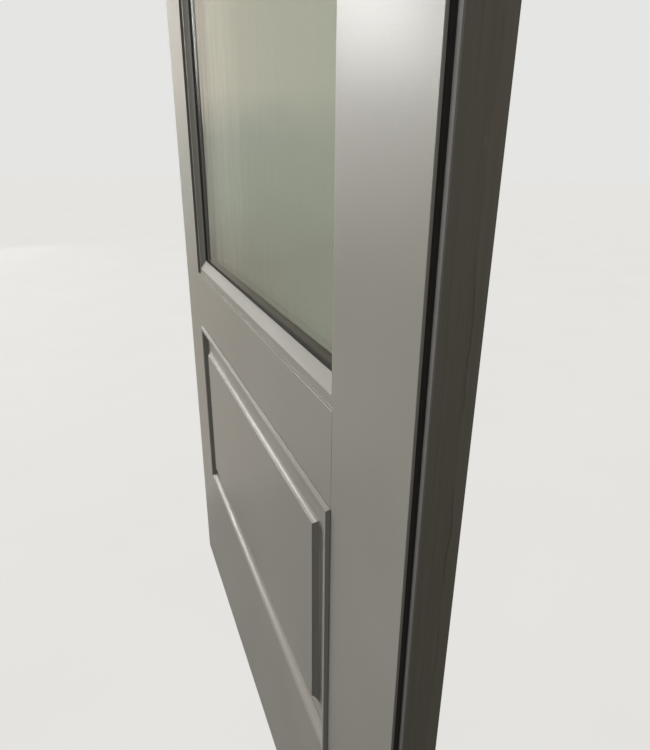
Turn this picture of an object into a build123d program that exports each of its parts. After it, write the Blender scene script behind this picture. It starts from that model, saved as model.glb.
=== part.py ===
import os

from build123d import *

os.makedirs("parts", exist_ok=True)

# An exterior door leaf with a tall pane of glass over one raised panel, in millimetres.
# X runs across the leaf from its left edge, Y from the outdoor face to the indoor face, Z up.
# The origin is on the left edge's flat face, at half the leaf's thickness and height.

# The leaf
leaf_width = 914.4
leaf_height = 2032.0
leaf_thickness = 44.45

# Stiles and rails, each as wide as its face shows
stile_width = 133.35
top_rail_height = 133.35
middle_rail_height = 99.0
bottom_rail_height = 272.0
panel_opening_height = 336.5
indoor_arris = 1.5

# Metal facing on the outdoor side
facing = 2.0
facing_arris = 0.9

# Groove behind the outdoor face, along the leaf's edge
groove_depth = 6.1
groove_rear = 9.9
groove_web = 1.5
flange = 1.5
flange_width = 16.0

# Black seal in the groove: a flat foot with a hollow bulb at its outdoor end
seal_foot = 1.6
seal_bulb_width = 5.0
seal_bulb_height = 2.2
seal_bore = 1.0

# Tongue on each member's inner edge, which the beads and mouldings sit on
tongue_width = 8.0

# Insulated glass
unit_thickness = 19.05
pane_thickness = 4.0
glass_clearance = 4.0
spacer_inset = 2.0
spacer_width = 12.0

# Glazing bead and the gasket under it
metal_wall = 1.6
bead_leg = 1.2
bead_land = 10.0
bead_land_depth = 3.6
bead_width = 25.0
bead_foot_depth = 10.6
bead_cove_sag = 1.2
bead_arris = 0.8
gasket_lip = 3.5

# Raised panel
panel_clearance = 2.0
margin_depth = 6.0
cove_start = 37.0
field_start = 47.0
field_rise = 1.0

# Panel moulding
moulding_lip = 0.6
moulding_nose = 4.5
moulding_crest = 7.0
moulding_height = 3.4
moulding_arris = 0.9
moulding_width = 20.0
moulding_foot = 1.0
moulding_fit = 1.0

# Places that follow from the sizes above
face_y = -leaf_thickness / 2
foot_z = -leaf_height / 2
head_z = leaf_height / 2
panel_foot_z = foot_z + bottom_rail_height
panel_head_z = panel_foot_z + panel_opening_height
sill_z = panel_head_z + middle_rail_height
glass_head_z = head_z - top_rail_height
opening_left = stile_width
opening_right = leaf_width - stile_width
rail_length = opening_right - opening_left
web_back = groove_depth + groove_web
flange_back = groove_rear + flange
seat_depth = flange_back
tongue_thickness = leaf_thickness - 2 * seat_depth
gasket_depth = (leaf_thickness - unit_thickness) / 2 - seat_depth
glass_inset = tongue_width + glass_clearance
panel_inset = tongue_width + panel_clearance


def finish(piece, name):
    """Label a finished piece and write it."""
    piece.part.label = name
    export_step(piece.part, f"parts/{name}.step")


def across(corner, inward, run):
    """Plane across a member. Its X points inward from the corner and its Y out of the face."""
    x, z = corner
    return Plane(origin=(x, face_y, z), x_dir=inward, z_dir=run)


def facing_plane(low_z, high_z, y):
    """Upright plane at depth y, centred on an opening, that faces indoors."""
    return Plane(origin=(leaf_width / 2, y, (low_z + high_z) / 2), x_dir=(1, 0, 0), z_dir=(0, 1, 0))


def opening_sides(low_z, high_z):
    """Corner, inward and run directions and length of each side, anticlockwise from outdoors."""
    wide = opening_right - opening_left
    tall = high_z - low_z
    return {
        "bottom": ((opening_left, low_z), (0, 0, 1), (1, 0, 0), wide),
        "right": ((opening_right, low_z), (-1, 0, 0), (0, 0, 1), tall),
        "top": ((opening_right, high_z), (0, 0, -1), (-1, 0, 0), wide),
        "left": ((opening_left, high_z), (1, 0, 0), (0, 0, -1), tall),
    }


# Half outlines of the core, as (inward, out of the face) points from the outdoor to the indoor side

def grooved_edge():
    """Outer edge, let in for the facing that folds round the groove."""
    return [
        (web_back, -facing),
        (web_back, -groove_rear),
        (flange_width, -groove_rear),
        (flange_width, -flange_back),
        (0, -flange_back),
        (0, -leaf_thickness),
    ]


def plain_edge():
    """Outer edge with nothing let into it."""
    return [(0, -facing), (0, -leaf_thickness)]


def tongued_edge(edge, tip):
    """Edge at an opening, with the tongue between the outdoor and the indoor seat."""
    return [
        (edge, -facing),
        (edge, -seat_depth),
        (tip, -seat_depth),
        (tip, seat_depth - leaf_thickness),
        (edge, seat_depth - leaf_thickness),
        (edge, -leaf_thickness),
    ]


def member_core(name, section_plane, length, outer_edge, width):
    """Wooden core of a stile or rail. Rails are cut to fit over the stiles' tongues."""
    inner_edge = tongued_edge(width, width + tongue_width)
    with BuildPart() as core:
        with BuildSketch(section_plane) as section:
            with BuildLine():
                Polyline(*outer_edge, *reversed(inner_edge), close=True)
            make_face()
            fillet(section.vertices().group_by(Axis.Y)[0], indoor_arris)
        extrude(amount=length)
        if length == rail_length:
            with Locations((opening_left + tongue_width / 2, 0, 0),
                           (opening_right - tongue_width / 2, 0, 0)):
                Box(tongue_width, tongue_thickness, leaf_height, mode=Mode.SUBTRACT)
    finish(core, name)


def member_facing(name, section_plane, length, width, grooved):
    """Metal facing of a stile or rail: a plate, with a web and a flange round the groove."""
    with BuildPart() as plate:
        with BuildSketch(section_plane) as section:
            with BuildLine():
                if grooved:
                    Polyline((0, -facing), (0, 0), (width, 0), (width, -facing),
                             (web_back, -facing), (web_back, -groove_rear),
                             (flange_width, -groove_rear), (flange_width, -flange_back),
                             (0, -flange_back), (0, -groove_rear),
                             (groove_depth, -groove_rear), (groove_depth, -facing), close=True)
                else:
                    Polyline((0, -facing), (0, 0), (width, 0), (width, -facing), close=True)
            make_face()
            fillet(section.vertices().group_by(Axis.Y)[-1], facing_arris)
        extrude(amount=length)
    finish(plate, name)


def edge_seal(name, section_plane, length):
    """Black seal pressed into the groove."""
    foot = groove_depth - seal_foot
    bulb_end = -facing - seal_bulb_width
    bulb_middle = (-facing + bulb_end) / 2
    with BuildPart() as seal:
        with BuildSketch(section_plane):
            with BuildLine():
                Polyline((foot, -facing), (groove_depth, -facing), (groove_depth, -groove_rear),
                         (foot, -groove_rear), (foot, bulb_end))
                ThreePointArc((foot, bulb_end), (foot - seal_bulb_height, bulb_middle),
                              (foot, -facing))
            make_face()
            with Locations((foot, bulb_middle)):
                Circle(seal_bore, mode=Mode.SUBTRACT)
        extrude(amount=length)
    finish(seal, name)


def bead_outline():
    """Bead that holds the glass: a leg up to the facing, a sunk land, then a cove to the glass."""
    crest = Vector(bead_land, -bead_land_depth)
    foot = Vector(bead_width, -bead_foot_depth)
    hollow = (foot - crest).normalized().rotate(Axis.Z, -90) * bead_cove_sag
    Polyline(foot, (bead_width, -seat_depth), (0, -seat_depth), (0, -facing), (bead_leg, -facing),
             (bead_leg, -bead_land_depth), crest)
    ThreePointArc(crest, (crest + foot) / 2 + hollow, foot)


def moulding_outline():
    """Panel moulding: a raised nose, a flat crest and an ogee down to the panel's margin."""
    crest = (moulding_crest, moulding_height)
    foot = (moulding_width, moulding_foot - margin_depth)
    middle = ((crest[0] + foot[0]) / 2, (crest[1] + foot[1]) / 2)
    hook = tongue_width + moulding_fit
    Polyline((moulding_width, moulding_foot - margin_depth), (moulding_width, -margin_depth),
             (hook, -margin_depth), (hook, -seat_depth), (0, -seat_depth), (0, moulding_lip),
             (moulding_nose, moulding_height), crest)
    TangentArc(crest, middle, tangent=(1, 0))
    TangentArc(foot, middle, tangent=(-1, 0))


def mitred_sides(prefix, low_z, high_z, outline, arris, radius):
    """Four strips round an opening, mitred at its corners: hollow metal or solid wood."""
    indoors = prefix.startswith("inner")
    for side, (corner, inward, run, length) in opening_sides(low_z, high_z).items():
        start = Vector(corner[0], face_y, corner[1])
        end = start + Vector(run) * length
        with BuildPart() as strip:
            with BuildSketch(across(corner, inward, run)) as section:
                with BuildLine():
                    outline()
                make_face()
                fillet(section.vertices().sort_by_distance(arris)[0], radius)
                if not indoors:
                    offset(amount=-metal_wall, kind=Kind.INTERSECTION, mode=Mode.SUBTRACT)
            extrude(amount=length)
            split(bisect_by=Plane(origin=start, z_dir=Vector(run) - Vector(inward)), keep=Keep.TOP)
            split(bisect_by=Plane(origin=end, z_dir=-Vector(run) - Vector(inward)), keep=Keep.TOP)
            if indoors:
                mirror(about=Plane.XZ, mode=Mode.REPLACE)
        finish(strip, f"{prefix}_{side}")


def glass_sheet(name, y, inset, thickness, hole_inset=None):
    """Flat sheet or ring in the glazed opening, from depth y towards indoors."""
    with BuildPart() as sheet:
        with BuildSketch(facing_plane(sill_z, glass_head_z, y)):
            Rectangle(rail_length - 2 * inset, glass_head_z - sill_z - 2 * inset)
            if hole_inset:
                Rectangle(rail_length - 2 * hole_inset, glass_head_z - sill_z - 2 * hole_inset,
                          mode=Mode.SUBTRACT)
        extrude(amount=thickness)
    finish(sheet, name)


def glazing_gasket(name, indoors):
    """Gasket between the beads and the glass, with a lip that slopes down onto the glass."""
    height = glass_head_z - sill_z
    with BuildPart() as gasket:
        with BuildSketch(facing_plane(sill_z, glass_head_z, face_y + seat_depth)):
            Rectangle(rail_length - 2 * glass_inset, height - 2 * glass_inset)
        extrude(amount=gasket_depth)
        for depth, inset in ((0, bead_width), (gasket_depth, bead_width + gasket_lip)):
            with BuildSketch(facing_plane(sill_z, glass_head_z, face_y + seat_depth + depth)):
                Rectangle(rail_length - 2 * inset, height - 2 * inset)
        loft(mode=Mode.SUBTRACT)
        if indoors:
            mirror(about=Plane.XZ, mode=Mode.REPLACE)
    finish(gasket, name)


def raised_panel(name, indoors):
    """Half of the lower panel: a flat field that rises from a sunk margin by a cove."""
    with BuildPart() as panel:
        with BuildSketch(facing_plane(panel_foot_z, panel_head_z, face_y - field_rise)):
            Rectangle(rail_length - 2 * panel_inset, panel_opening_height - 2 * panel_inset)
        extrude(amount=leaf_thickness / 2 + field_rise)
        for corner, inward, run, length in opening_sides(panel_foot_z, panel_head_z).values():
            with BuildSketch(across(corner, inward, run)):
                with BuildLine():
                    Polyline((field_start, field_rise), (0, field_rise), (0, -margin_depth),
                             (cove_start, -margin_depth))
                    TangentArc((cove_start, -margin_depth), (field_start, field_rise), tangent=(1, 0))
                make_face()
            extrude(amount=length, mode=Mode.SUBTRACT)
        if indoors:
            mirror(about=Plane.XZ, mode=Mode.REPLACE)
    finish(panel, name)


# Stiles run the full height, and the rails stand between them
stile_right = across((leaf_width, foot_z), (-1, 0, 0), (0, 0, 1))
stile_left = across((0, head_z), (1, 0, 0), (0, 0, -1))
rail_top = across((opening_right, head_z), (0, 0, -1), (-1, 0, 0))
rail_middle = across((opening_left, panel_head_z), (0, 0, 1), (1, 0, 0))
rail_bottom = across((opening_left, foot_z), (0, 0, 1), (1, 0, 0))
middle_edge = tongued_edge(0, -tongue_width)

member_core("right_stile_core", stile_right, leaf_height, grooved_edge(), stile_width)
member_core("left_stile_core", stile_left, leaf_height, grooved_edge(), stile_width)
member_core("top_rail_core", rail_top, rail_length, grooved_edge(), top_rail_height)
member_core("middle_rail_core", rail_middle, rail_length, middle_edge, middle_rail_height)
member_core("bottom_rail_core", rail_bottom, rail_length, plain_edge(), bottom_rail_height)

member_facing("right_stile_cladding", stile_right, leaf_height, stile_width, grooved=True)
member_facing("left_stile_cladding", stile_left, leaf_height, stile_width, grooved=True)
member_facing("top_rail_cladding", rail_top, rail_length, top_rail_height, grooved=True)
member_facing("middle_rail_cladding", rail_middle, rail_length, middle_rail_height, grooved=False)
member_facing("bottom_rail_cladding", rail_bottom, rail_length, bottom_rail_height, grooved=False)

edge_seal("right_edge_gasket", stile_right, leaf_height)
edge_seal("left_edge_gasket", stile_left, leaf_height)
edge_seal("top_edge_gasket", rail_top, rail_length)

# Two panes held apart by a spacer, half the unit on each side of the leaf's middle
half_unit = unit_thickness / 2
half_gap = half_unit - pane_thickness
glass_sheet("outer_glass_pane", -half_unit, glass_inset, pane_thickness)
glass_sheet("inner_glass_pane", half_gap, glass_inset, pane_thickness)
glass_sheet("glass_spacer", -half_gap, glass_inset + spacer_inset, 2 * half_gap,
            hole_inset=glass_inset + spacer_inset + spacer_width)
glazing_gasket("outer_glazing_gasket", indoors=False)
glazing_gasket("inner_glazing_gasket", indoors=True)

bead_corner = (bead_land, -bead_land_depth)
moulding_corner = (moulding_nose, moulding_height)
for face in ("outer", "inner"):
    mitred_sides(f"{face}_glazing_bead", sill_z, glass_head_z, bead_outline, bead_corner, bead_arris)
    mitred_sides(f"{face}_panel_moulding", panel_foot_z, panel_head_z, moulding_outline,
                 moulding_corner, moulding_arris)
    raised_panel(f"{face}_raised_panel", indoors=face == "inner")
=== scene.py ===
"""Exterior door leaf: insulated glass over one raised panel, metal outdoors and timber indoors."""

import math

import bmesh
import bpy
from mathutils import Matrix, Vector


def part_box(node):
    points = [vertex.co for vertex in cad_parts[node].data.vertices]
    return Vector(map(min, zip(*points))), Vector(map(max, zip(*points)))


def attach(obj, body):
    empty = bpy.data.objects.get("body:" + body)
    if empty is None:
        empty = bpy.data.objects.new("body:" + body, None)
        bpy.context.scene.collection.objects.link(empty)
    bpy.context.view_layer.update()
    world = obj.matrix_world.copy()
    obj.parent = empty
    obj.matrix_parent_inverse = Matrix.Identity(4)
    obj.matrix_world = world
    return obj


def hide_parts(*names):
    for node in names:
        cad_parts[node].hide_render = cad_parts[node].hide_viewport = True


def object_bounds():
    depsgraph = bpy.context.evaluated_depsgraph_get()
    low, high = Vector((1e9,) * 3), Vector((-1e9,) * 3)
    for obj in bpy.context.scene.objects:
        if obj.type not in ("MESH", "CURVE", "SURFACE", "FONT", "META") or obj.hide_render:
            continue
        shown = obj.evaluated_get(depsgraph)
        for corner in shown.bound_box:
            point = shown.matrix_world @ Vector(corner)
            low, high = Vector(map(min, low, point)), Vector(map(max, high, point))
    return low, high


bl_info = {
    "name": "Glazed Exterior Door Leaf",
    "version": (1, 0, 0),
    "blender": (4, 5, 0),
    "location": "3D View > Sidebar > Door Leaf",
    "description": "Dresses a stile-and-rail door leaf with facings, beads, mouldings, seals and finishes",
    "category": "Add Mesh",
}

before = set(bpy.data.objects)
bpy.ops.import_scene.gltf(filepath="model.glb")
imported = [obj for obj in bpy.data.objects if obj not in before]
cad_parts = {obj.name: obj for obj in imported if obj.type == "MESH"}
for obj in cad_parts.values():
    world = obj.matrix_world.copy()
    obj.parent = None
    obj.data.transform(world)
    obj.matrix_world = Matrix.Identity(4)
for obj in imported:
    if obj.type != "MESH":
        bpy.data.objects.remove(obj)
LEAF_LOW, LEAF_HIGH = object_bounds()
LEAF_MIDDLE = (LEAF_LOW + LEAF_HIGH) / 2
MM = 0.001
BODY = "root"
OUTDOORS = Vector((0, -1, 0))
INDOORS = Vector((0, 1, 0))
UP = Vector((0, 0, 1))
ACROSS = Vector((1, 0, 0))

# Modelling steps and tolerances
ARC_STEPS = 8
ROUND_STEPS = 4
FIELD_STEPS = 3
BEVEL_STEPS = 2
SMOOTH_ANGLE = math.radians(30)
SHARP_ANGLE = math.radians(40)
FLAT_ANGLE = math.radians(1)
MERGE_DISTANCE = 0.002 * MM
RING_MERGE_DISTANCE = 0.02 * MM

# Sizes of the patterns on the finishes, in millimetres
CLOUD = 160
STIPPLE = 1.6
MIST = 9
GRAIN_LENGTH, GRAIN_WIDTH = 220, 3
WEAR = 60
DUST = 14
RUBBER_GRAIN = 0.9
WAVE_WIDTH, WAVE_LENGTH = 45, 260
SMEAR = 70
SPACER_MOTTLE = 1.2
ROLLER_MARK = 400

COAT_IOR = 1.5
GLASS_IOR = 1.52

# Laminated timber: the glue line's distance from the indoor face and how it wanders, and two faint
# rub marks on the right edge, each with its centre and how far it reaches
GLUE_LINE_INSET = 10.5 * MM
GLUE_DRIFT_LENGTH = 38
GLUE_DRIFT = 7 * MM
RUB_STRENGTH = 0.35
RUB_MARKS = (
    (Vector((914.4, 8.7, -96.4)) * MM, Vector((8, 2.4, 4)) * MM),
    (Vector((914.4, 9.8, -455)) * MM, Vector((8, 1.7, 34)) * MM),
)


# Places on the leaf, read from the frame's nodes

def node_low(name):
    """Lowest corner of a node."""
    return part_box(name)[0]


def node_high(name):
    """Highest corner of a node."""
    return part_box(name)[1]


FACE_Y = node_low("right_stile_cladding").y
BACK_Y = node_high("right_stile_core").y
FOOT_Z, HEAD_Z = node_low("right_stile_core").z, node_high("right_stile_core").z
LEFT_X, RIGHT_X = node_low("left_stile_core").x, node_high("right_stile_core").x
OPENING_LEFT = node_high("left_stile_cladding").x
OPENING_RIGHT = node_low("right_stile_cladding").x
PANEL_FOOT = node_high("bottom_rail_cladding").z
PANEL_HEAD = node_low("middle_rail_cladding").z
SILL = node_high("middle_rail_cladding").z
GLASS_HEAD = node_low("top_rail_cladding").z

GROOVED_MEMBERS = ("right_stile", "left_stile", "top_rail")

# Depths below the outdoor face, and widths. The indoor pieces have the same below the indoor face
SEAT_DEPTH = node_high("outer_glazing_bead_bottom").y - FACE_Y
BEAD_WIDTH = node_high("outer_glazing_bead_bottom").z - SILL
GLASS_DEPTH = node_low("outer_glass_pane").y - FACE_Y
GLASS_INSET = node_low("outer_glass_pane").x - OPENING_LEFT
MOULDING_HEIGHT = FACE_Y - node_low("outer_panel_moulding_bottom").y
MOULDING_WIDTH = node_high("outer_panel_moulding_bottom").z - PANEL_FOOT
FIELD_RISE = FACE_Y - node_low("outer_raised_panel").y
GROOVE_REAR = node_high("right_edge_gasket").y - FACE_Y
FLANGE_BACK = node_high("right_stile_cladding").y - FACE_Y
GROOVE_DEPTH = RIGHT_X - node_low("right_edge_gasket").x


def linear(code):
    """Linear colour of an sRGB hex code."""
    parts = [int(code[i:i + 2], 16) / 255 for i in (1, 3, 5)]
    return [p / 12.92 if p <= 0.04045 else ((p + 0.055) / 1.055) ** 2.4 for p in parts]


def length(name, description, millimetres):
    """Length property with its default in millimetres."""
    return bpy.props.FloatProperty(name=name, description=description, default=millimetres * MM,
                                   min=0, unit="LENGTH", precision=5)


def colour(name, description, code):
    """Colour property with its default as an sRGB hex code."""
    return bpy.props.FloatVectorProperty(name=name, description=description, default=linear(code),
                                         min=0, max=1, size=3, subtype="COLOR")


class LeafSizes(bpy.types.PropertyGroup):
    """Section sizes that the frame's boxes don't show."""

    facing: length("Facing", "Thickness of the metal facing", 2.0)
    facing_arris: length("Facing arris", "Rounding along the facing's front edges", 0.9)
    groove_web: length("Groove web", "Thickness of the metal at the bottom of the edge groove", 1.5)
    flange_width: length("Flange", "Width of the flange behind the edge groove", 16.0)
    seal_foot: length("Seal foot", "Thickness of the seal's flat foot", 1.6)
    seal_bulb_width: length("Seal bulb", "Width of the seal's bulb", 5.0)
    seal_bulb_height: length("Bulb height", "Height of the seal's bulb over its foot", 2.2)
    bead_leg: length("Bead leg", "Thickness of the bead's leg, which reaches up to the facing", 1.2)
    bead_land: length("Bead land", "Where the flat land of a glazing bead ends", 10.0)
    bead_land_depth: length("Bead land depth", "Depth of the bead's land below the face", 3.6)
    bead_foot_depth: length("Bead foot depth", "Depth below the face at which the cove ends", 10.6)
    bead_cove_sag: length("Bead cove", "How far the bead's cove sinks below a straight slope", 0.2)
    bead_arris: length("Bead arris", "Rounding on a bead's leg, and between its land and its cove", 0.8)
    moulding_lip: length("Moulding lip", "Height at which the moulding leaves the face", 0.6)
    moulding_nose: length("Moulding nose", "Width of the moulding's outer slope", 4.5)
    moulding_crest: length("Moulding crest", "Where the moulding's flat crest ends", 7.0)
    moulding_arris: length("Moulding arris", "Rounding between the nose and the crest", 0.7)
    moulding_foot: length("Moulding foot", "Thickness of the moulding at the panel's margin", 1.0)
    moulding_hook: length("Moulding hook", "Where the moulding steps down beside the tongue", 9.0)
    margin_depth: length("Margin depth", "Depth of the panel's margin below the face", 6.0)
    cove_start: length("Cove start", "Where the panel's cove leaves the margin", 37.0)
    field_start: length("Field start", "Where the panel's field starts", 47.0)
    field_arris: length("Field arris", "Rounding between the cove and the field", 0.7)
    mitre_arris: length("Mitre arris", "Softening of a cut end, which shows as a hairline", 0.12)
    timber_arris: length("Timber arris", "Softening of the timber's sanded edges", 0.6)


class LeafColours(bpy.types.PropertyGroup):
    """Finishes of the leaf."""

    coating: colour("Powder coat", "Satin grey coating on the outdoor metal", "#908d85")
    timber: colour("Timber lacquer", "Brown lacquer on the timber core", "#807a6e")
    timber_dark: colour("Timber grain", "Pores and the glue line in the lacquered timber", "#544e44")
    seal: colour("Edge seal", "Black rubber in the edge groove", "#2e2b27")
    gasket: colour("Glazing gasket", "Near black rubber against the glass", "#1d1c1b")
    # The groove wall's primer is painted near white: painted light standing in for light that hardly
    # reaches into the groove
    groove_wall_primer_and_light: colour("Groove wall", "Pale primer on the rear wall of the edge groove", "#eeebe6")
    spacer: colour("Spacer", "Dark bronze spacer between the panes", "#4a4945")
    glass: colour("Glass", "Green tint of the float glass", "#e8eee9")
    floor: colour("Studio floor", "Pale studio floor", "#d6d5d2")
    backdrop: colour("Studio backdrop", "Pale studio backdrop", "#f4f4f2")


def sizes():
    """The scene's section sizes."""
    return bpy.context.scene.leaf_sizes


def colours():
    """The scene's finish colours."""
    return bpy.context.scene.leaf_colours


# Modelling by hand: each helper leaves one active object, in object mode

class Run:
    """A straight run that a section is drawn along. A section gives distances inwards and outwards."""

    def __init__(self, start, end, inward, outward):
        self.start, self.end = Vector(start), Vector(end)
        self.inward, self.outward = inward, outward
        self.along = (self.end - self.start).normalized()

    def at(self, inwards, outwards):
        """Point of the section at the start of the run."""
        return self.start + self.inward * inwards + self.outward * outwards


def deselect_all():
    """Leaves nothing selected."""
    bpy.ops.object.select_all(action="DESELECT")


def pick(test, kind="verts"):
    """Selects the vertices, edges or faces of the mesh in edit mode that pass a test."""
    bpy.ops.mesh.select_mode(type={"verts": "VERT", "edges": "EDGE", "faces": "FACE"}[kind])
    bpy.ops.mesh.select_all(action="DESELECT")
    mesh = bmesh.from_edit_mesh(bpy.context.edit_object.data)
    for item in getattr(mesh, kind):
        if test(item):
            item.select_set(True)
    mesh.select_flush_mode()
    bmesh.update_edit_mesh(bpy.context.edit_object.data)


def draw_outline(run, outline, softened):
    """Draws a closed section: one vertex is extruded along straight moves and spun round arcs."""
    deselect_all()
    bpy.ops.mesh.primitive_plane_add(size=MM, location=run.at(*outline[0]))
    bpy.ops.object.transform_apply(location=True, rotation=True, scale=True)
    bpy.ops.object.mode_set(mode="EDIT")
    bpy.ops.mesh.select_mode(type="VERT")
    bpy.ops.mesh.select_all(action="SELECT")
    bpy.ops.mesh.merge(type="CENTER")
    here = outline[0]
    for target in outline[1:]:
        if len(target) == 2:
            step = run.at(*target) - run.at(*here)
            bpy.ops.mesh.extrude_vertices_move(TRANSFORM_OT_translate={"value": step})
        else:
            middle = target[2:]
            first = math.atan2(here[1] - middle[1], here[0] - middle[0])
            last = math.atan2(target[1] - middle[1], target[0] - middle[0])
            turn = (last - first + math.pi) % math.tau - math.pi
            bpy.ops.mesh.spin(steps=ARC_STEPS, angle=-turn, center=run.at(*middle), axis=run.along)
        here = target[:2]
    pick(lambda v: len(v.link_edges) == 1)
    bpy.ops.mesh.edge_face_add()
    bpy.ops.mesh.select_all(action="SELECT")
    bpy.ops.mesh.edge_face_add()
    for (inwards, outwards), width in softened:
        corner = run.at(inwards, outwards)
        pick(lambda v: (v.co - corner).length < MERGE_DISTANCE)
        bpy.ops.mesh.bevel(offset=width, segments=ROUND_STEPS, affect="VERTICES")


def draw_bar(name, run, outline, softened=(), mitred=False, capped=True):
    """Draws a section and pulls it out along its run, cut square or mitred at both ends."""
    draw_outline(run, outline, softened)
    bpy.ops.mesh.select_all(action="SELECT")
    bpy.ops.mesh.extrude_region_move(TRANSFORM_OT_translate={"value": run.end - run.start})
    bpy.ops.mesh.select_all(action="SELECT")
    bpy.ops.mesh.normals_make_consistent(inside=False)
    if mitred:
        for corner, away in ((run.start, -run.along), (run.end, run.along)):
            bpy.ops.mesh.select_all(action="SELECT")
            bpy.ops.mesh.bisect(plane_co=corner, plane_no=run.inward + away, use_fill=capped,
                                clear_outer=True)
    bpy.ops.object.mode_set(mode="OBJECT")
    bar = bpy.context.object
    bar.name = name
    return bar


def copy_solid(name, node):
    """Copies a node's mesh into a new piece and joins its loose triangles into whole faces."""
    deselect_all()
    solid = bpy.data.objects.new(name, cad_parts[node].data.copy())
    solid.data.materials.clear()
    bpy.context.scene.collection.objects.link(solid)
    bpy.context.view_layer.objects.active = solid
    solid.select_set(True)
    bpy.ops.mesh.customdata_custom_splitnormals_clear()
    bpy.ops.object.mode_set(mode="EDIT")
    bpy.ops.mesh.select_all(action="SELECT")
    bpy.ops.mesh.remove_doubles(threshold=MERGE_DISTANCE)
    bpy.ops.mesh.dissolve_limited(angle_limit=FLAT_ANGLE)
    bpy.ops.object.mode_set(mode="OBJECT")
    return solid


def soften(width):
    """Bevels the active piece's sharp edges, unless the width is 0, and evens its shading."""
    if width:
        bpy.ops.object.modifier_add(type="BEVEL")
        bevel = bpy.context.object.modifiers[-1]
        bevel.width, bevel.segments = width, BEVEL_STEPS
        bevel.limit_method, bevel.angle_limit = "ANGLE", SHARP_ANGLE
        bpy.ops.object.modifier_apply(modifier=bevel.name)
    bpy.ops.object.shade_smooth_by_angle(angle=SMOOTH_ANGLE)
    bpy.ops.object.modifier_add(type="WEIGHTED_NORMAL")
    evened = bpy.context.object.modifiers[-1]
    evened.keep_sharp = True
    bpy.ops.object.modifier_apply(modifier=evened.name)


def hand_over(piece, material, slot, *nodes):
    """Gives a finished piece its material and puts it in place of its nodes."""
    if not piece.data.polygons:
        raise RuntimeError(f"{piece.name} has no faces")
    piece.data.name = piece.name
    piece.data.materials.clear()
    piece.data.materials.append(material)
    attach(piece, BODY)
    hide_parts(*nodes)


def opening_sides(low_z, high_z, outward):
    """Run along each side of an opening, for its outdoor or its indoor pieces."""
    y = FACE_Y if outward == OUTDOORS else BACK_Y
    corners = {
        "bottom": ((OPENING_LEFT, low_z), (OPENING_RIGHT, low_z), UP),
        "right": ((OPENING_RIGHT, low_z), (OPENING_RIGHT, high_z), -ACROSS),
        "top": ((OPENING_RIGHT, high_z), (OPENING_LEFT, high_z), -UP),
        "left": ((OPENING_LEFT, high_z), (OPENING_LEFT, low_z), ACROSS),
    }
    runs = {}
    for side, (first, last, inward) in corners.items():
        if outward == INDOORS:
            first, last = last, first
        runs[side] = Run((first[0], y, first[1]), (last[0], y, last[1]), inward, outward)
    return runs


def member_runs():
    """Run along the outer edge of each stile and rail, on the outdoor face."""
    return {
        "right_stile": Run((RIGHT_X, FACE_Y, FOOT_Z), (RIGHT_X, FACE_Y, HEAD_Z), -ACROSS, OUTDOORS),
        "left_stile": Run((LEFT_X, FACE_Y, HEAD_Z), (LEFT_X, FACE_Y, FOOT_Z), ACROSS, OUTDOORS),
        "top_rail": Run((OPENING_RIGHT, FACE_Y, HEAD_Z), (OPENING_LEFT, FACE_Y, HEAD_Z), -UP, OUTDOORS),
        "middle_rail": Run((OPENING_LEFT, FACE_Y, PANEL_HEAD), (OPENING_RIGHT, FACE_Y, PANEL_HEAD), UP,
                           OUTDOORS),
        "bottom_rail": Run((OPENING_LEFT, FACE_Y, FOOT_Z), (OPENING_RIGHT, FACE_Y, FOOT_Z), UP,
                           OUTDOORS),
    }


# Materials

def add_node(tree, kind, settings=None, links=None):
    """Adds a node. Settings name its sockets, its properties or the stops of its ramp."""
    made = tree.nodes.new(kind)
    for name, value in (settings or {}).items():
        if name == "stops":
            ramp = made.color_ramp.elements
            while len(ramp) < len(value):
                ramp.new(0.5)
            for stop, (position, tone) in zip(ramp, value):
                stop.position, stop.color = position, (*tone, 1)
        elif isinstance(name, int) or name in made.inputs:
            made.inputs[name].default_value = value
        else:
            setattr(made, name, value)
    for name, source in (links or {}).items():
        tree.links.new(source, made.inputs[name])
    return made


def per_metre(millimetres):
    """Texture scale that gives a feature about every so many millimetres."""
    return 1 / (millimetres * MM)


def shade(tone, factor):
    """A colour made darker or lighter."""
    return [min(1.0, part * factor) for part in tone]


def new_material(name):
    """Empty node material with its output, shader and object coordinates."""
    material = bpy.data.materials.new(name)
    material.use_nodes = True
    tree = material.node_tree
    tree.nodes.clear()
    shader = add_node(tree, "ShaderNodeBsdfPrincipled")
    add_node(tree, "ShaderNodeOutputMaterial", links={"Surface": shader.outputs["BSDF"]})
    place = add_node(tree, "ShaderNodeTexCoord").outputs["Object"]
    return material, tree, shader, place


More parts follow.
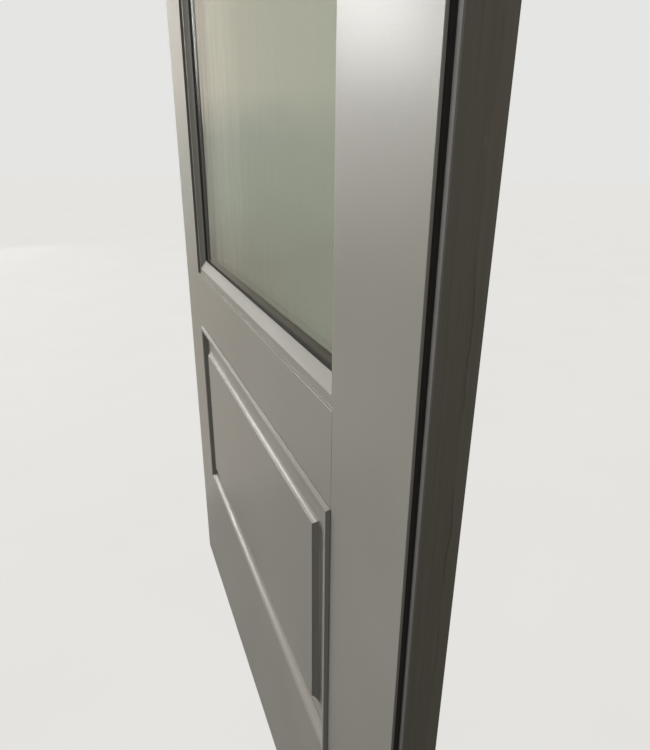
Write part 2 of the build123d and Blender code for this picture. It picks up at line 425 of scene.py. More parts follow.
def powder_coated_aluminium():
    """Powder coat, sprayed and baked: an even satin with a fine stipple and faint cloudiness."""
    material, tree, shader, place = new_material("satin_powder_coated_aluminium")
    tone = colours().coating
    cloud = add_node(tree, "ShaderNodeTexNoise", {"Scale": per_metre(CLOUD), "Detail": 2.0},
                     {"Vector": place})
    tint = add_node(tree, "ShaderNodeValToRGB",
                    {"stops": [(0.3, shade(tone, 0.965)), (0.7, shade(tone, 1.035))]},
                    {"Fac": cloud.outputs["Fac"]})
    # The stipple of real coats is nearer 0.8 mm, and is drawn at twice that so that it shows
    stipple = add_node(tree, "ShaderNodeTexNoise", {"Scale": per_metre(STIPPLE), "Detail": 2.0},
                       {"Vector": place})
    pits = add_node(tree, "ShaderNodeValToRGB", {"stops": [(0.3, [0.8] * 3), (0.62, [1.0] * 3)]},
                    {"Fac": stipple.outputs["Fac"]})
    speck = add_node(tree, "ShaderNodeMixRGB", {"blend_type": "MULTIPLY", "Fac": 0.22},
                     {"Color1": tint.outputs["Color"], "Color2": pits.outputs["Color"]})
    gloss = add_node(tree, "ShaderNodeMapRange", {"To Min": 0.285, "To Max": 0.325},
                     {"Value": cloud.outputs["Fac"]})
    peel = add_node(tree, "ShaderNodeBump", {"Strength": 1.0, "Distance": 0.02 * MM},
                    {"Height": stipple.outputs["Fac"]})
    tree.links.new(speck.outputs["Color"], shader.inputs["Base Color"])
    tree.links.new(gloss.outputs["Result"], shader.inputs["Roughness"])
    tree.links.new(peel.outputs["Normal"], shader.inputs["Normal"])
    shader.inputs["IOR"].default_value = COAT_IOR
    return material


def groove_primer_with_painted_light():
    """Pale primer on the aluminium inside the groove: matte, painted near white to stand in for the light
    that hardly reaches the groove's rear wall, and greyed by painted shade towards the bottom of the
    groove."""
    material, tree, shader, place = new_material("pale_primed_aluminium")
    mist = add_node(tree, "ShaderNodeTexNoise", {"Scale": per_metre(MIST), "Detail": 3.0},
                    {"Vector": place})
    # Near white tone: painted light for the groove's rear wall, which the lamps hardly reach
    tone = colours().groove_wall_primer_and_light
    tint = add_node(tree, "ShaderNodeValToRGB",
                    {"stops": [(0.3, shade(tone, 0.9)), (0.7, shade(tone, 1.0))]},
                    {"Fac": mist.outputs["Fac"]})
    # How far a place lies inside the nearer side edge and inside the top edge
    parts = add_node(tree, "ShaderNodeSeparateXYZ", links={"Vector": place})
    aside = add_node(tree, "ShaderNodeMath", {"operation": "SUBTRACT", 1: LEAF_MIDDLE.x},
                     {0: parts.outputs["X"]})
    reach = add_node(tree, "ShaderNodeMath", {"operation": "ABSOLUTE"}, {0: aside.outputs["Value"]})
    from_side = add_node(tree, "ShaderNodeMath", {"operation": "SUBTRACT", 0: RIGHT_X - LEAF_MIDDLE.x},
                         {1: reach.outputs["Value"]})
    from_head = add_node(tree, "ShaderNodeMath", {"operation": "SUBTRACT", 0: HEAD_Z},
                         {1: parts.outputs["Z"]})
    inside = add_node(tree, "ShaderNodeMath", {"operation": "MINIMUM"},
                      {0: from_side.outputs["Value"], 1: from_head.outputs["Value"]})
    # Painted shade: the wall darkens to 0.3 of its tone towards the bottom of the groove
    painted_groove_shade = add_node(tree, "ShaderNodeMapRange",
                    {"From Min": 2.5 * MM, "From Max": GROOVE_DEPTH, "To Min": 1.0, "To Max": 0.3},
                    {"Value": inside.outputs["Value"]})
    shaded_primer = add_node(tree, "ShaderNodeVectorMath", {"operation": "SCALE"},
                      {0: tint.outputs["Color"], "Scale": painted_groove_shade.outputs["Result"]})
    tree.links.new(shaded_primer.outputs["Vector"], shader.inputs["Base Color"])
    shader.inputs["Roughness"].default_value = 0.6
    return material


def soft_spot(tree, place, centre, reach):
    """Mask of a faint mark: strongest at its centre, gone at its reach along each axis."""
    away = add_node(tree, "ShaderNodeVectorMath", {"operation": "SUBTRACT", 1: centre}, {0: place})
    scaled = add_node(tree, "ShaderNodeVectorMath", {"operation": "DIVIDE", 1: reach},
                      {0: away.outputs["Vector"]})
    distance = add_node(tree, "ShaderNodeVectorMath", {"operation": "LENGTH"},
                        {0: scaled.outputs["Vector"]})
    return add_node(tree, "ShaderNodeMapRange",
                    {"From Min": 1.0, "From Max": 0.2, "To Min": 0.0, "To Max": RUB_STRENGTH},
                    {"Value": distance.outputs["Value"]}).outputs["Result"]


def lacquered_timber(direction):
    """Laminated softwood under a brown lacquer: grain runs one way, pores show as fine dark dashes, and
    the glue line between two layers shows on the edges as a broken dark line."""
    upright = direction == "upright"
    material, tree, shader, place = new_material(f"brown_lacquered_timber_{direction}")
    tone, dark = colours().timber, colours().timber_dark
    along, cross = per_metre(GRAIN_LENGTH), per_metre(GRAIN_WIDTH)
    grain_scale = (cross, cross, along) if upright else (along, cross, cross)
    pore_scale = tuple(part * 3 for part in grain_scale)
    grain_place = add_node(tree, "ShaderNodeMapping", {"Scale": grain_scale}, {"Vector": place})
    grain = add_node(tree, "ShaderNodeTexNoise", {"Scale": 1.0, "Detail": 4.0, "Distortion": 0.4},
                     {"Vector": grain_place.outputs["Vector"]})
    pore_place = add_node(tree, "ShaderNodeMapping", {"Scale": pore_scale}, {"Vector": place})
    pores = add_node(tree, "ShaderNodeTexNoise", {"Scale": 1.0, "Detail": 2.0},
                     {"Vector": pore_place.outputs["Vector"]})
    wear = add_node(tree, "ShaderNodeTexNoise", {"Scale": per_metre(WEAR), "Detail": 5.0},
                    {"Vector": place})
    body = add_node(tree, "ShaderNodeValToRGB",
                    {"stops": [(0.3, shade(tone, 0.93)), (0.5, list(tone)), (0.72, shade(tone, 1.05))]},
                    {"Fac": grain.outputs["Fac"]})
    pore_mask = add_node(tree, "ShaderNodeMapRange",
                         {"From Min": 0.36, "From Max": 0.28, "To Max": 0.18},
                         {"Value": pores.outputs["Fac"]})
    pored = add_node(tree, "ShaderNodeMixRGB", {"Color2": (*dark, 1)},
                     {"Fac": pore_mask.outputs["Result"], "Color1": body.outputs["Color"]})
    # Glue line near the indoor face: it wanders by a millimetre or two, and it fades in and out
    depth = add_node(tree, "ShaderNodeSeparateXYZ", links={"Vector": place}).outputs["Y"]
    drift = add_node(tree, "ShaderNodeTexNoise", {"Scale": per_metre(GLUE_DRIFT_LENGTH), "Detail": 4.0},
                     {"Vector": place})
    straight = GLUE_LINE_INSET - BACK_Y - GLUE_DRIFT / 2
    bend = add_node(tree, "ShaderNodeMath", {"operation": "MULTIPLY_ADD", 1: GLUE_DRIFT, 2: straight},
                    {0: drift.outputs["Fac"]})
    off = add_node(tree, "ShaderNodeMath", {"operation": "ADD"}, {0: depth, 1: bend.outputs["Value"]})
    near = add_node(tree, "ShaderNodeMath", {"operation": "ABSOLUTE"}, {0: off.outputs["Value"]})
    line = add_node(tree, "ShaderNodeMapRange",
                    {"From Min": 0.1 * MM, "From Max": 1.2 * MM, "To Min": 1.0, "To Max": 0.0},
                    {"Value": near.outputs["Value"]})
    gaps = add_node(tree, "ShaderNodeMapRange", {"From Min": 0.5, "From Max": 0.64, "To Max": 0.45},
                    {"Value": wear.outputs["Fac"]})
    glue = add_node(tree, "ShaderNodeMath", {"operation": "MULTIPLY"},
                    {0: line.outputs["Result"], 1: gaps.outputs["Result"]})
    lined = add_node(tree, "ShaderNodeMixRGB", {"Color2": (*dark, 1)},
                     {"Fac": glue.outputs["Value"], "Color1": pored.outputs["Color"]})
    # Between the glue line and the indoor face the timber is painted a touch paler: painted light for the
    # edge's lighter look towards its back
    painted_back_light = add_node(tree, "ShaderNodeMapRange",
                     {"From Min": -0.5 * MM, "From Max": 0.5 * MM, "To Min": 1.0, "To Max": 1.08},
                     {"Value": off.outputs["Value"]})
    finished = add_node(tree, "ShaderNodeVectorMath", {"operation": "SCALE"},
                        {0: lined.outputs["Color"], "Scale": painted_back_light.outputs["Result"]}).outputs["Vector"]
    for centre, reach in RUB_MARKS if upright else ():
        rubbed = add_node(tree, "ShaderNodeMixRGB", {"Color2": (*shade(tone, 1.5), 1)},
                          {"Fac": soft_spot(tree, place, centre, reach), "Color1": finished})
        finished = rubbed.outputs["Color"]
    gloss = add_node(tree, "ShaderNodeMapRange", {"To Min": 0.42, "To Max": 0.56},
                     {"Value": wear.outputs["Fac"]})
    relief = add_node(tree, "ShaderNodeBump", {"Strength": 1.0, "Distance": 0.03 * MM},
                      {"Height": grain.outputs["Fac"]})
    pits = add_node(tree, "ShaderNodeBump", {"Strength": 1.0, "Distance": 0.03 * MM, "invert": True},
                    {"Height": pore_mask.outputs["Result"], "Normal": relief.outputs["Normal"]})
    tree.links.new(finished, shader.inputs["Base Color"])
    tree.links.new(gloss.outputs["Result"], shader.inputs["Roughness"])
    tree.links.new(pits.outputs["Normal"], shader.inputs["Normal"])
    return material


def extruded_rubber(name, tone):
    """Extruded rubber: near black and matte, with a fine grain and a little dust."""
    material, tree, shader, place = new_material(name)
    dust = add_node(tree, "ShaderNodeTexNoise", {"Scale": per_metre(DUST), "Detail": 4.0},
                    {"Vector": place})
    tint = add_node(tree, "ShaderNodeValToRGB",
                    {"stops": [(0.35, list(tone)), (0.8, shade(tone, 1.6))]},
                    {"Fac": dust.outputs["Fac"]})
    gloss = add_node(tree, "ShaderNodeMapRange", {"To Min": 0.5, "To Max": 0.75},
                     {"Value": dust.outputs["Fac"]})
    grain = add_node(tree, "ShaderNodeTexNoise", {"Scale": per_metre(RUBBER_GRAIN), "Detail": 2.0},
                     {"Vector": place})
    skin = add_node(tree, "ShaderNodeBump", {"Strength": 1.0, "Distance": 0.03 * MM},
                    {"Height": grain.outputs["Fac"]})
    tree.links.new(tint.outputs["Color"], shader.inputs["Base Color"])
    tree.links.new(gloss.outputs["Result"], shader.inputs["Roughness"])
    tree.links.new(skin.outputs["Normal"], shader.inputs["Normal"])
    return material


def float_glass():
    """Toughened float glass: mirror smooth and faintly green, with the shallow waves that the rollers
    of the toughening oven leave."""
    material, tree, shader, place = new_material("toughened_float_glass")
    stretched = add_node(tree, "ShaderNodeMapping",
                         {"Scale": (per_metre(WAVE_WIDTH), 1.0, per_metre(WAVE_LENGTH))},
                         {"Vector": place})
    waves = add_node(tree, "ShaderNodeTexNoise", {"Scale": 1.0, "Detail": 1.0},
                     {"Vector": stretched.outputs["Vector"]})
    rolled = add_node(tree, "ShaderNodeBump", {"Strength": 1.0, "Distance": 0.25 * MM},
                      {"Height": waves.outputs["Fac"]})
    smears = add_node(tree, "ShaderNodeTexNoise", {"Scale": per_metre(SMEAR), "Detail": 4.0},
                      {"Vector": place})
    film = add_node(tree, "ShaderNodeMapRange",
                    {"From Min": 0.45, "From Max": 0.75, "To Min": 0.0, "To Max": 0.06},
                    {"Value": smears.outputs["Fac"]})
    shader.inputs["Base Color"].default_value = (*colours().glass, 1)
    shader.inputs["Transmission Weight"].default_value = 1.0
    shader.inputs["IOR"].default_value = GLASS_IOR
    tree.links.new(film.outputs["Result"], shader.inputs["Roughness"])
    tree.links.new(rolled.outputs["Normal"], shader.inputs["Normal"])
    return material


def anodised_spacer():
    """Roll-formed aluminium spacer, anodised dark bronze: a dull metal, finely mottled."""
    material, tree, shader, place = new_material("bronze_anodised_aluminium")
    mottle = add_node(tree, "ShaderNodeTexNoise", {"Scale": per_metre(SPACER_MOTTLE), "Detail": 2.0},
                      {"Vector": place})
    tone = colours().spacer
    tint = add_node(tree, "ShaderNodeValToRGB",
                    {"stops": [(0.3, shade(tone, 0.85)), (0.7, shade(tone, 1.15))]},
                    {"Fac": mottle.outputs["Fac"]})
    tree.links.new(tint.outputs["Color"], shader.inputs["Base Color"])
    shader.inputs["Metallic"].default_value = 1.0
    shader.inputs["Roughness"].default_value = 0.5
    return material


def matte_studio_paint(name, tone, glow):
    """Matte emulsion on a studio floor: flat, with a barely visible roller texture. It glows by itself,
    so that it is evenly pale wherever the lamps stand."""
    material, tree, shader, place = new_material(name)
    roller = add_node(tree, "ShaderNodeTexNoise", {"Scale": per_metre(ROLLER_MARK), "Detail": 3.0},
                      {"Vector": place})
    tint = add_node(tree, "ShaderNodeValToRGB",
                    {"stops": [(0.3, shade(tone, 0.98)), (0.7, shade(tone, 1.0))]},
                    {"Fac": roller.outputs["Fac"]})
    shader.inputs["Base Color"].default_value = (*shade(tone, 0.005), 1)
    shader.inputs["Roughness"].default_value = 0.9
    tree.links.new(tint.outputs["Color"], shader.inputs["Emission Color"])
    shader.inputs["Emission Strength"].default_value = glow
    return material


def glowing_paint(name, tone, strength):
    """Black paint that only glows, for the studio's wall and the card behind the leaf."""
    material, _, shader, _ = new_material(name)
    shader.inputs["Base Color"].default_value = (0, 0, 0, 1)
    shader.inputs["Emission Color"].default_value = (*tone, 1)
    shader.inputs["Emission Strength"].default_value = strength
    return material


def finish_of(key):
    """The material of that key, made the first time it is asked for."""
    makers = {
        "coating": powder_coated_aluminium,
        "groove_wall_primer_and_light": groove_primer_with_painted_light,
        "timber_upright": lambda: lacquered_timber("upright"),
        "timber_level": lambda: lacquered_timber("level"),
        "edge_seal": lambda: extruded_rubber("black_extruded_rubber", colours().seal),
        "gasket": lambda: extruded_rubber("dark_extruded_rubber", colours().gasket),
        "glass": float_glass,
        "spacer": anodised_spacer,
    }
    tag = "door_finish"
    for material in bpy.data.materials:
        if material.get(tag) == key:
            return material
    made = makers[key]()
    made[tag] = key
    return made


# Pieces

class DOORLEAF_OT_facings(bpy.types.Operator):
    """Make the folded metal facings of the stiles and rails"""

    bl_idname = "doorleaf.facings"
    bl_label = "Metal Facings"

    def execute(self, context):
        s = sizes()
        web = GROOVE_DEPTH + s.groove_web
        for member, run in member_runs().items():
            node = f"{member}_cladding"
            low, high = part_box(node)
            width = high.x - low.x if "stile" in member else high.z - low.z
            plate = [(0, -s.facing), (0, 0), (width, 0), (width, -s.facing)]
            if member in GROOVED_MEMBERS:
                plate += [(web, -s.facing), (web, -GROOVE_REAR), (s.flange_width, -GROOVE_REAR),
                          (s.flange_width, -FLANGE_BACK), (0, -FLANGE_BACK), (0, -GROOVE_REAR),
                          (GROOVE_DEPTH, -GROOVE_REAR), (GROOVE_DEPTH, -s.facing)]
            fronts = [((0, 0), s.facing_arris), ((width, 0), s.facing_arris)]
            sheet = draw_bar(f"{member}_facing", run, plate, fronts)
            soften(s.mitre_arris)
            hand_over(sheet, finish_of("coating"), "facing", node)
            if member in GROOVED_MEMBERS:
                self.paint_groove_wall_light(sheet)
        return {"FINISHED"}

    def paint_groove_wall_light(self, sheet):
        """Gives the groove's rear wall, which the top coat hardly reaches, its own finish: pale primer
        with painted light and painted shade.
        """
        sheet.data.materials.append(finish_of("groove_wall_primer_and_light"))
        bpy.ops.object.mode_set(mode="EDIT")
        pick(lambda face: face.normal.y < -0.99
             and abs(face.calc_center_median().y - FACE_Y - GROOVE_REAR) < MERGE_DISTANCE, "faces")
        sheet.active_material_index = 1
        bpy.ops.object.material_slot_assign()
        bpy.ops.object.mode_set(mode="OBJECT")


class DOORLEAF_OT_cores(bpy.types.Operator):
    """Make the timber cores of the stiles and rails, with sanded edges"""

    bl_idname = "doorleaf.cores"
    bl_label = "Timber Cores"

    def execute(self, context):
        for member in member_runs():
            node = f"{member}_core"
            bar = copy_solid(f"{member}_timber", node)
            soften(sizes().timber_arris)
            grain = "timber_upright" if "stile" in member else "timber_level"
            hand_over(bar, finish_of(grain), "core", node)
        return {"FINISHED"}


class DOORLEAF_OT_edge_seals(bpy.types.Operator):
    """Make the rubber seals in the grooves of the leaf's edges"""

    bl_idname = "doorleaf.edge_seals"
    bl_label = "Edge Seals"

    def execute(self, context):
        s = sizes()
        foot = GROOVE_DEPTH - s.seal_foot
        front, back = -s.facing, -s.facing - s.seal_bulb_width
        middle = (front + back) / 2
        half = s.seal_bulb_width / 2
        # The bulb is a shallow arc through its top, so its centre lies below its foot
        radius = (half ** 2 + s.seal_bulb_height ** 2) / (2 * s.seal_bulb_height)
        centre = foot - s.seal_bulb_height + radius
        outline = [(foot, back), (foot, -GROOVE_REAR), (GROOVE_DEPTH, -GROOVE_REAR),
                   (GROOVE_DEPTH, front), (foot, front),
                   (foot - s.seal_bulb_height, middle, centre, middle), (foot, back, centre, middle)]
        for member in GROOVED_MEMBERS:
            edge = member.split("_")[0]
            node = f"{edge}_edge_gasket"
            seal = draw_bar(f"{edge}_edge_seal", member_runs()[member], outline)
            bpy.ops.object.mode_set(mode="EDIT")
            bpy.ops.mesh.select_all(action="SELECT")
            bpy.ops.mesh.remove_doubles(threshold=MERGE_DISTANCE)
            bpy.ops.object.mode_set(mode="OBJECT")
            soften(s.mitre_arris)
            hand_over(seal, finish_of("edge_seal"), "gasket", node)
        return {"FINISHED"}


def mitred_strips(prefix, node_prefix, low_z, high_z, outline, softened):
    """Four mitred strips round an opening, outdoors in metal and indoors in timber."""
    for side_name, outward in (("outer", OUTDOORS), ("inner", INDOORS)):
        for side, run in opening_sides(low_z, high_z, outward).items():
            strip = draw_bar(f"{side_name}_{prefix}_{side}", run, outline, softened, mitred=True)
            soften(sizes().mitre_arris)
            if outward == OUTDOORS:
                finish, slot = "coating", "facing"
            else:
                finish, slot = "timber_upright" if side in ("left", "right") else "timber_level", "core"
            hand_over(strip, finish_of(finish), slot, f"{side_name}_{node_prefix}_{side}")


class DOORLEAF_OT_glazing_beads(bpy.types.Operator):
    """Make the mitred beads that hold the glass"""

    bl_idname = "doorleaf.glazing_beads"
    bl_label = "Glazing Beads"

    def execute(self, context):
        s = sizes()
        crest, foot = (s.bead_land, -s.bead_land_depth), (BEAD_WIDTH, -s.bead_foot_depth)
        across, down = foot[0] - crest[0], crest[1] - foot[1]
        chord = math.hypot(across, down)
        radius = chord ** 2 / (8 * s.bead_cove_sag) + s.bead_cove_sag / 2
        # The cove's centre stands off the middle of its chord, on the outdoor side
        reach = (radius - s.bead_cove_sag) / chord
        centre = ((crest[0] + foot[0]) / 2 + down * reach, (crest[1] + foot[1]) / 2 + across * reach)
        outline = [(0, -SEAT_DEPTH), (0, -s.facing), (s.bead_leg, -s.facing),
                   (s.bead_leg, -s.bead_land_depth), crest, (*foot, *centre), (BEAD_WIDTH, -SEAT_DEPTH)]
        softened = [((s.bead_leg, -s.facing), s.bead_arris / 2), (crest, s.bead_arris / 2)]
        mitred_strips("bead", "glazing_bead", SILL, GLASS_HEAD, outline, softened)
        return {"FINISHED"}


class DOORLEAF_OT_panel_mouldings(bpy.types.Operator):
    """Make the mitred mouldings round the raised panel: a nose, a flat crest and an ogee"""

    bl_idname = "doorleaf.panel_mouldings"
    bl_label = "Panel Mouldings"

    def execute(self, context):
        s = sizes()
        crest = (s.moulding_crest, MOULDING_HEIGHT)
        foot = (MOULDING_WIDTH, s.moulding_foot - s.margin_depth)
        across, down = (foot[0] - crest[0]) / 2, (crest[1] - foot[1]) / 2
        middle = (crest[0] + across, crest[1] - down)
        radius = (across ** 2 + down ** 2) / (2 * down)
        nose = (s.moulding_nose, MOULDING_HEIGHT)
        outline = [(0, -SEAT_DEPTH), (0, s.moulding_lip), nose, crest,
                   (*middle, crest[0], crest[1] - radius), (*foot, foot[0], foot[1] + radius),
                   (MOULDING_WIDTH, -s.margin_depth), (s.moulding_hook, -s.margin_depth),
                   (s.moulding_hook, -SEAT_DEPTH)]
        mitred_strips("moulding", "panel_moulding", PANEL_FOOT, PANEL_HEAD, outline,
                      [(nose, s.moulding_arris / 2)])
        return {"FINISHED"}


class DOORLEAF_OT_raised_panels(bpy.types.Operator):
    """Make the two halves of the raised panel: a sunk margin, a cove and a flat field"""

    bl_idname = "doorleaf.raised_panels"
    bl_label = "Raised Panels"

    def execute(self, context):
        s = sizes()
        for side, outward in (("outer", OUTDOORS), ("inner", INDOORS)):
            node = f"{side}_raised_panel"
            low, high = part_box(node)
            margin_y = (FACE_Y if outward == OUTDOORS else BACK_Y) - outward.y * s.margin_depth
            deselect_all()
            bpy.ops.mesh.primitive_plane_add(
                size=1, location=((low.x + high.x) / 2, margin_y, (low.z + high.z) / 2),
                rotation=(-outward.y * math.pi / 2, 0, 0))
            half = bpy.context.object
            half.name = f"{side}_panel_half"
            half.scale = (high.x - low.x, high.z - low.z, 1)
            bpy.ops.object.transform_apply(location=True, rotation=True, scale=True)
            bpy.ops.object.mode_set(mode="EDIT")
            bpy.ops.mesh.select_mode(type="FACE")
            bpy.ops.mesh.select_all(action="SELECT")
            bpy.ops.mesh.inset(thickness=s.cove_start - (low.x - OPENING_LEFT))
            self.rise_by_cove(s.field_start - s.cove_start, s.margin_depth + FIELD_RISE)
            bpy.ops.mesh.region_to_loop()
            bpy.ops.mesh.bevel(offset=s.field_arris, segments=FIELD_STEPS, affect="EDGES")
            self.add_back(outward, low, high, margin_y)
            bpy.ops.object.mode_set(mode="OBJECT")
            soften(0)
            if outward == OUTDOORS:
                hand_over(half, finish_of("coating"), "facing", node)
            else:
                hand_over(half, finish_of("timber_level"), "core", node)
        return {"FINISHED"}

    def rise_by_cove(self, width, rise):
        """Insets the selected face step by step up an arc that leaves the margin level."""
        radius = (width ** 2 + rise ** 2) / (2 * rise)
        full_turn = math.asin(width / radius)
        done = (0, 0)
        for step in range(1, ARC_STEPS + 1):
            turn = full_turn * step / ARC_STEPS
            there = (radius * math.sin(turn), radius * (1 - math.cos(turn)))
            bpy.ops.mesh.inset(thickness=there[0] - done[0], depth=there[1] - done[1])
            done = there

    def add_back(self, outward, low, high, margin_y):
        """Pulls the rim back to the middle of the leaf and closes it."""
        back_y = high.y if outward == OUTDOORS else low.y
        pick(lambda edge: edge.is_boundary, "edges")
        bpy.ops.mesh.extrude_region_move(TRANSFORM_OT_translate={"value": (0, back_y - margin_y, 0)})
        bpy.ops.mesh.edge_face_add()
        bpy.ops.mesh.select_all(action="SELECT")
        bpy.ops.mesh.normals_make_consistent(inside=False)


class DOORLEAF_OT_glazing_gaskets(bpy.types.Operator):
    """Make the one-piece gaskets between the beads and the glass"""

    bl_idname = "doorleaf.glazing_gaskets"
    bl_label = "Glazing Gaskets"

    def execute(self, context):
        for side_name, outward in (("outer", OUTDOORS), ("inner", INDOORS)):
            node = f"{side_name}_glazing_gasket"
            lip = BEAD_WIDTH + self.lip_width()
            outline = [(GLASS_INSET, -SEAT_DEPTH), (BEAD_WIDTH, -SEAT_DEPTH), (lip, -GLASS_DEPTH),
                       (GLASS_INSET, -GLASS_DEPTH)]
            bars = [draw_bar(f"{side_name}_gasket_{side}", run, outline, mitred=True, capped=False)
                    for side, run in opening_sides(SILL, GLASS_HEAD, outward).items()]
            deselect_all()
            for bar in bars:
                bar.select_set(True)
            bpy.ops.object.join()
            ring = bpy.context.object
            ring.name = f"{side_name}_glazing_seal"
            bpy.ops.object.mode_set(mode="EDIT")
            bpy.ops.mesh.select_all(action="SELECT")
            bpy.ops.mesh.remove_doubles(threshold=RING_MERGE_DISTANCE)
            bpy.ops.mesh.normals_make_consistent(inside=False)
            bpy.ops.object.mode_set(mode="OBJECT")
            soften(sizes().mitre_arris)
            hand_over(ring, finish_of("gasket"), "gasket", node)
        return {"FINISHED"}

    def lip_width(self):
        """How far the lip reaches onto the glass past the bead."""
        inner = max(v.co.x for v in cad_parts["outer_glazing_gasket"].data.vertices
                    if v.co.x < LEAF_MIDDLE.x)
        return inner - OPENING_LEFT - BEAD_WIDTH


class DOORLEAF_OT_insulated_glass(bpy.types.Operator):
    """Finish the two panes and the spacer of the insulated glass"""

    bl_idname = "doorleaf.insulated_glass"
    bl_label = "Insulated Glass"

    def execute(self, context):
        for node, key in (("outer_glass_pane", "glass"), ("inner_glass_pane", "glass"),
                          ("glass_spacer", "spacer")):
            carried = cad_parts[node]
            if not carried.material_slots:
                carried.data.materials.append(None)
            for place in carried.material_slots:
                place.material = finish_of(key)
        return {"FINISHED"}


# Studio

CAMERA_PLACE = Vector((1184.1, -191.2, -104.2)) * MM
CAMERA_TURN = [math.radians(angle) for angle in (68.6755, -0.4584, 68.2472)]
FOCAL_PIXELS = 562.7
PICTURE_HEIGHT = 750
SENSOR = 36.0
CLIP = (0.01, 200)

STAGE_X = 0.4
FLOOR_SIZE = 60
FLOOR_GAP = 0.2 * MM
FLOOR_GLOW = 1.15
WALL_RADIUS, WALL_HEIGHT = 25, 40
WALL_GLOW = 0.86
WORLD_TONE = (0.12, 0.118, 0.114, 1)

# Softboxes: name, place, aim, width, height, watts, and what each lights
SOFTBOXES = (
    ("key_softbox", (-5.1, -2.02, 0.3), LEAF_MIDDLE, 3.0, 2.4, 630, "surfaces"),
    ("high_softbox", (-5.24, -3.29, 2.39), LEAF_MIDDLE, 4.0, 4.0, 250, "surfaces"),
    ("fill_softbox", (1.4, -0.55, 0.35), (0.91, 0, -0.1), 0.5, 0.5, 1.6, "surfaces"),
    ("strip_softbox", (-3.35, -2.1, 0.91), (0.86, 0, -0.05), 0.65, 0.9, 39, "reflections"),
    ("rear_softbox", (-0.6, 3.2, 1.3), LEAF_MIDDLE, 2.4, 2.4, 90, "surfaces"),
)
OVERHEAD_TILT = (math.radians(12), math.radians(-12), 0)
OVERHEAD_STRENGTH = 0.45
OVERHEAD_SPREAD = math.radians(120)

# Card at the left: tones from its foot to its head, and a glow that grows towards the leaf
CARD_PLACE = (-3.4, -1.625, -0.6)
CARD_SIZE = (3.15, 5.0, 1)
CARD_TONES = ((0.05, "#938c81"), (0.28, "#a6a799"), (0.5, "#b2b1a6"), (0.68, "#d8cfc0"))
CARD_GLOW = {"From Min": -1.0, "From Max": -0.65, "To Min": 0.95, "To Max": 1.35}
REAR_CARD_PLACE = (-3.5, 1.2, 0)
REAR_CARD_SIZE = (12, 12, 1)
REAR_CARD_TONE = "#a9a79c"
REAR_CARD_GLOW = 1.0


def add_softbox(name, place, aim, width, height, watts, lights):
    """Soft rectangular studio light, aimed at a point. It lights surfaces or shows in reflections."""
    deselect_all()
    bpy.ops.object.light_add(type="AREA", location=place)
    lamp = bpy.context.object
    lamp.name = name
    lamp.rotation_euler = (Vector(aim) - Vector(place)).to_track_quat("-Z", "Y").to_euler()
    lamp.data.shape = "RECTANGLE"
    lamp.data.size, lamp.data.size_y = width, height
    lamp.data.energy = watts
    lamp.visible_camera = False
    lamp.visible_diffuse = lights != "reflections"
    lamp.visible_glossy = lamp.visible_transmission = lights != "surfaces"


def add_to_stage(name, paint, hidden_from):
    """Names and paints the object just added, and hides it from some kinds of ray."""
    added = bpy.context.object
    added.name = name
    added.data.materials.append(paint)
    for kind in hidden_from:
        setattr(added, f"visible_{kind}", False)


def add_card(place, turn, size):
    """Adds an upright card and leaves it as the active object."""
    deselect_all()
    bpy.ops.mesh.primitive_plane_add(size=1, location=place, rotation=turn)
    bpy.context.object.scale = size
    bpy.ops.object.transform_apply(location=True, rotation=True, scale=True)


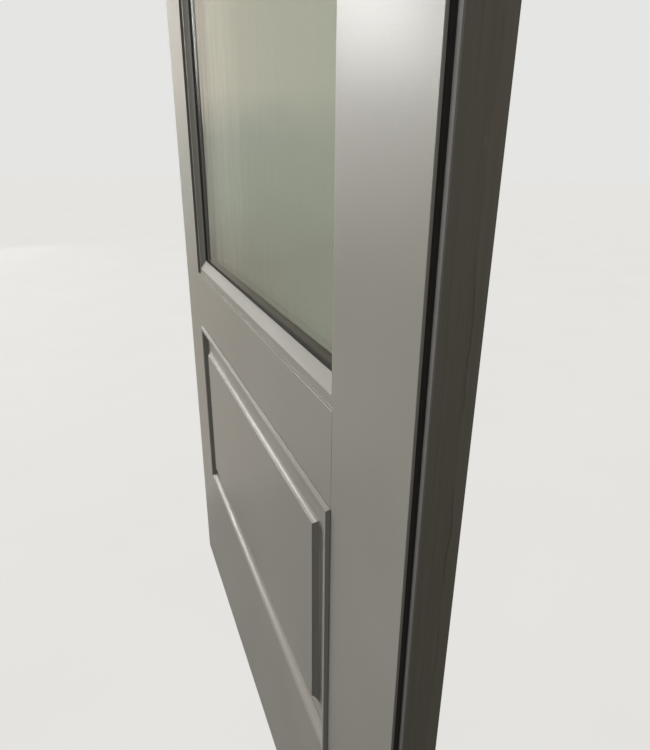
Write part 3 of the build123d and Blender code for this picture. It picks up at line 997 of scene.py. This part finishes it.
class DOORLEAF_OT_stage(bpy.types.Operator):
    """Set up the pale floor, the soft lights and the camera"""

    bl_idname = "doorleaf.stage"
    bl_label = "Studio"

    def execute(self, context):
        self.add_floor()
        self.add_backdrop()
        self.add_reflection_card()
        self.add_rear_card()
        for softbox in SOFTBOXES:
            add_softbox(*softbox)
        bpy.ops.object.light_add(type="SUN", location=(0, -1, 3), rotation=OVERHEAD_TILT)
        overhead = bpy.context.object
        overhead.name = "overhead_softlight"
        overhead.data.energy = OVERHEAD_STRENGTH
        overhead.data.angle = OVERHEAD_SPREAD
        world = bpy.data.worlds.new("studio_air")
        context.scene.world = world
        world.use_nodes = True
        world.node_tree.nodes["Background"].inputs["Color"].default_value = WORLD_TONE
        context.scene.view_settings.view_transform = "Standard"
        self.add_camera(context)
        return {"FINISHED"}

    def add_floor(self):
        """Pale floor just under the leaf, which puts no light on it."""
        deselect_all()
        bpy.ops.mesh.primitive_plane_add(size=FLOOR_SIZE, location=(STAGE_X, 0, FOOT_Z - FLOOR_GAP))
        paint = matte_studio_paint("matte_floor_paint", colours().floor, FLOOR_GLOW)
        add_to_stage("studio_floor", paint, ("diffuse", "glossy", "transmission"))

    def add_backdrop(self):
        """Pale wall all round that only the camera sees, so that it puts no light on the leaf."""
        deselect_all()
        bpy.ops.mesh.primitive_cylinder_add(vertices=96, radius=WALL_RADIUS, depth=WALL_HEIGHT,
                                            end_fill_type="NOTHING", location=(STAGE_X, 0, 0))
        paint = glowing_paint("lit_backdrop", colours().backdrop, WALL_GLOW)
        add_to_stage("studio_backdrop", paint,
                     ("diffuse", "glossy", "transmission", "shadow", "volume_scatter"))

    def add_reflection_card(self):
        """Card at the left that shows in reflections and through the glass: cream above, grey below."""
        add_card(CARD_PLACE, (math.pi / 2, 0, math.pi / 2), CARD_SIZE)
        material, tree, shader, place = new_material("graded_reflection_card")
        parts = add_node(tree, "ShaderNodeSeparateXYZ", links={"Vector": place})
        drift = add_node(tree, "ShaderNodeTexNoise", {"Scale": 1.6, "Detail": 3.0}, {"Vector": place})
        sway = add_node(tree, "ShaderNodeMath", {"operation": "MULTIPLY_ADD", 1: 0.5, 2: -0.25},
                        {0: drift.outputs["Fac"]})
        level = add_node(tree, "ShaderNodeMath", {"operation": "ADD"},
                         {0: parts.outputs["Z"], 1: sway.outputs["Value"]})
        part = add_node(tree, "ShaderNodeMapRange", {"From Min": -1.0, "From Max": 1.0},
                        {"Value": level.outputs["Value"]})
        stops = [(position, linear(code)) for position, code in CARD_TONES]
        grade = add_node(tree, "ShaderNodeValToRGB", {"stops": stops}, {"Fac": part.outputs["Result"]})
        strength = add_node(tree, "ShaderNodeMapRange", CARD_GLOW, {"Value": parts.outputs["Y"]})
        shader.inputs["Base Color"].default_value = (0, 0, 0, 1)
        tree.links.new(strength.outputs["Result"], shader.inputs["Emission Strength"])
        tree.links.new(grade.outputs["Color"], shader.inputs["Emission Color"])
        add_to_stage("reflection_card", material, ("camera", "diffuse", "shadow"))

    def add_rear_card(self):
        """Card behind the leaf that shows only through the glass."""
        add_card(REAR_CARD_PLACE, (math.pi / 2, 0, 0), REAR_CARD_SIZE)
        paint = glowing_paint("rear_card_paint", linear(REAR_CARD_TONE), REAR_CARD_GLOW)
        add_to_stage("rear_card", paint, ("camera", "diffuse", "glossy", "shadow"))

    def add_camera(self, context):
        """Camera where the photograph's stood, worked out from its straight edges."""
        deselect_all()
        bpy.ops.object.camera_add(location=CAMERA_PLACE, rotation=CAMERA_TURN)
        camera = bpy.context.object
        camera.name = "photograph_camera"
        camera.data.sensor_width = SENSOR
        camera.data.lens = FOCAL_PIXELS * SENSOR / PICTURE_HEIGHT
        camera.data.clip_start, camera.data.clip_end = CLIP
        context.scene.camera = camera


PIECE_OPERATORS = (
    DOORLEAF_OT_facings,
    DOORLEAF_OT_cores,
    DOORLEAF_OT_edge_seals,
    DOORLEAF_OT_glazing_beads,
    DOORLEAF_OT_glazing_gaskets,
    DOORLEAF_OT_insulated_glass,
    DOORLEAF_OT_panel_mouldings,
    DOORLEAF_OT_raised_panels,
    DOORLEAF_OT_stage,
)


class DOORLEAF_PT_panel(bpy.types.Panel):
    """Buttons and sizes of the door leaf"""

    bl_idname = "DOORLEAF_PT_panel"
    bl_label = "Door Leaf"
    bl_space_type = "VIEW_3D"
    bl_region_type = "UI"
    bl_category = "Door Leaf"

    def draw(self, context):
        for operator in PIECE_OPERATORS:
            self.layout.operator(operator.bl_idname)
        for group in (sizes(), colours()):
            box = self.layout.box()
            for name in group.__annotations__:
                box.prop(group, name)


CLASSES = (LeafSizes, LeafColours, *PIECE_OPERATORS, DOORLEAF_PT_panel)


def register():
    """Adds the classes and the two groups of properties."""
    for item in CLASSES:
        bpy.utils.register_class(item)
    bpy.types.Scene.leaf_sizes = bpy.props.PointerProperty(type=LeafSizes)
    bpy.types.Scene.leaf_colours = bpy.props.PointerProperty(type=LeafColours)


def unregister():
    """Takes them away again."""
    del bpy.types.Scene.leaf_sizes, bpy.types.Scene.leaf_colours
    for item in reversed(CLASSES):
        bpy.utils.unregister_class(item)


def main():
    """Makes every piece and the stage."""
    register()
    for operator in PIECE_OPERATORS:
        group, name = operator.bl_idname.split(".")
        getattr(getattr(bpy.ops, group), name)()


if __name__ == "__main__":
    main()
